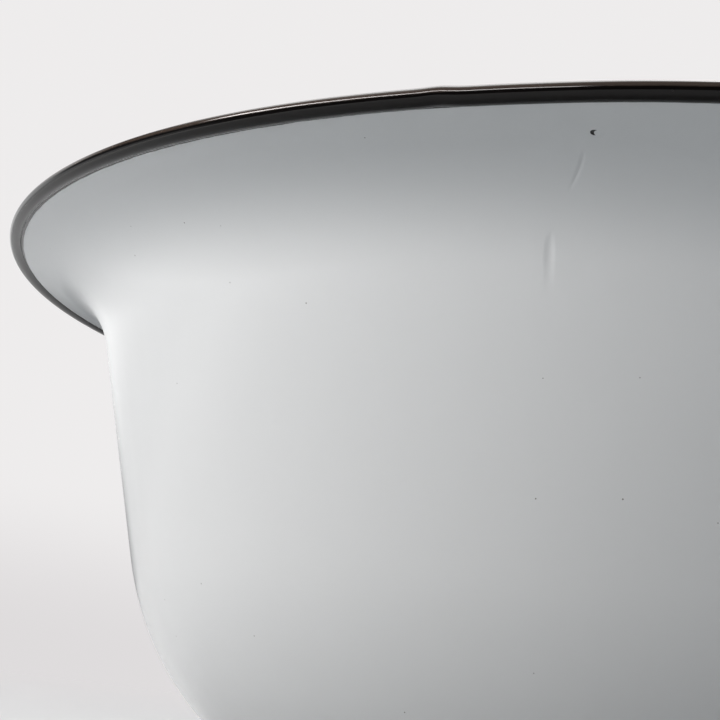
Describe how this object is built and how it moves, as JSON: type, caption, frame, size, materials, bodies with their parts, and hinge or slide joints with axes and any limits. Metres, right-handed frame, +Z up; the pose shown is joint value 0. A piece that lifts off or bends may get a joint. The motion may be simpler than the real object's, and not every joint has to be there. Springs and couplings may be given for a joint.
{
  "type": "milk pail",
  "caption": "Low, wide enamelled milk pail with a flared brim, black rolled rim, foot ring, riveted ears and a swinging wire bail with a turned wooden grip.",
  "frame": {"origin": "on the floor at the middle of the foot ring, under the middle of the pail", "axes": "+Z up; the ears and the bail's pivot line lie along X; at rest the bail hangs toward +Y"},
  "size_m": [0.3484, 0.362, 0.1154],
  "materials": {
    "enamel_grey": "glossy pale grey vitreous enamel on steel",
    "enamel_black": "glossy black vitreous enamel",
    "steel_wire": "tinned steel wire, satin",
    "turned_wood": "turned beech, oiled"
  },
  "bodies": {
    "pail": {"pail_body": "enamel_grey", "rim_bead": "enamel_black", "rim_wire": "steel_wire", "foot_ring": "enamel_grey", "left_ear": "enamel_grey", "right_ear": "enamel_grey", "left_ear_rivets": "enamel_grey", "right_ear_rivets": "enamel_grey"},
    "bail": {"bail_wire": "steel_wire"},
    "grip": {"bail_grip": "turned_wood"}
  },
  "joints": [
    {"name": "bail_swing", "type": "hinge", "parent": "pail", "child": "bail", "pos_m": [0, 0, 0.08], "axis": [1, 0, 0], "range_deg": [0, 219.5]},
    {"name": "grip_spin", "type": "hinge", "parent": "bail", "child": "grip", "pos_m": [0, 0.18353, 0.0141], "axis": [1, 0, 0], "continuous": true}
  ]
}
